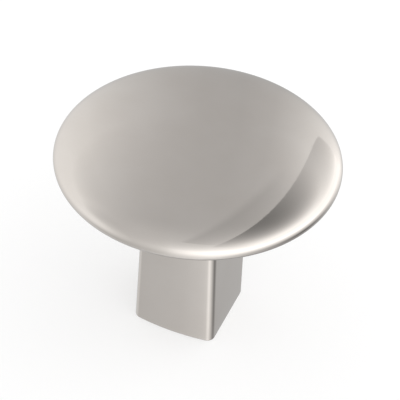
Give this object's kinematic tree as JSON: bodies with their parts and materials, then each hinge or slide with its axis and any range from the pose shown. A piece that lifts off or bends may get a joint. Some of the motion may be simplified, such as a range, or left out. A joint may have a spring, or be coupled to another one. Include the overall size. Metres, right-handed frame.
{
  "type": "cabinet knob",
  "caption": "Round cabinet knob: a shallow domed disc on a square post, cast in one piece and plated, with a blind tapped hole in the base for a screw through the door.",
  "frame": {"origin": "middle of the base, on the plane of the cabinet front", "axes": "+Z along the post, out of the cabinet; the crowned sides of the post face -Y and +Y, its flat sides -X and +X"},
  "size_m": [0.032, 0.032, 0.0269],
  "materials": {
    "nickel_plate": "fine satin nickel plate over die-cast zinc"
  },
  "bodies": {
    "root": {"knob": "nickel_plate"}
  },
  "joints": []
}
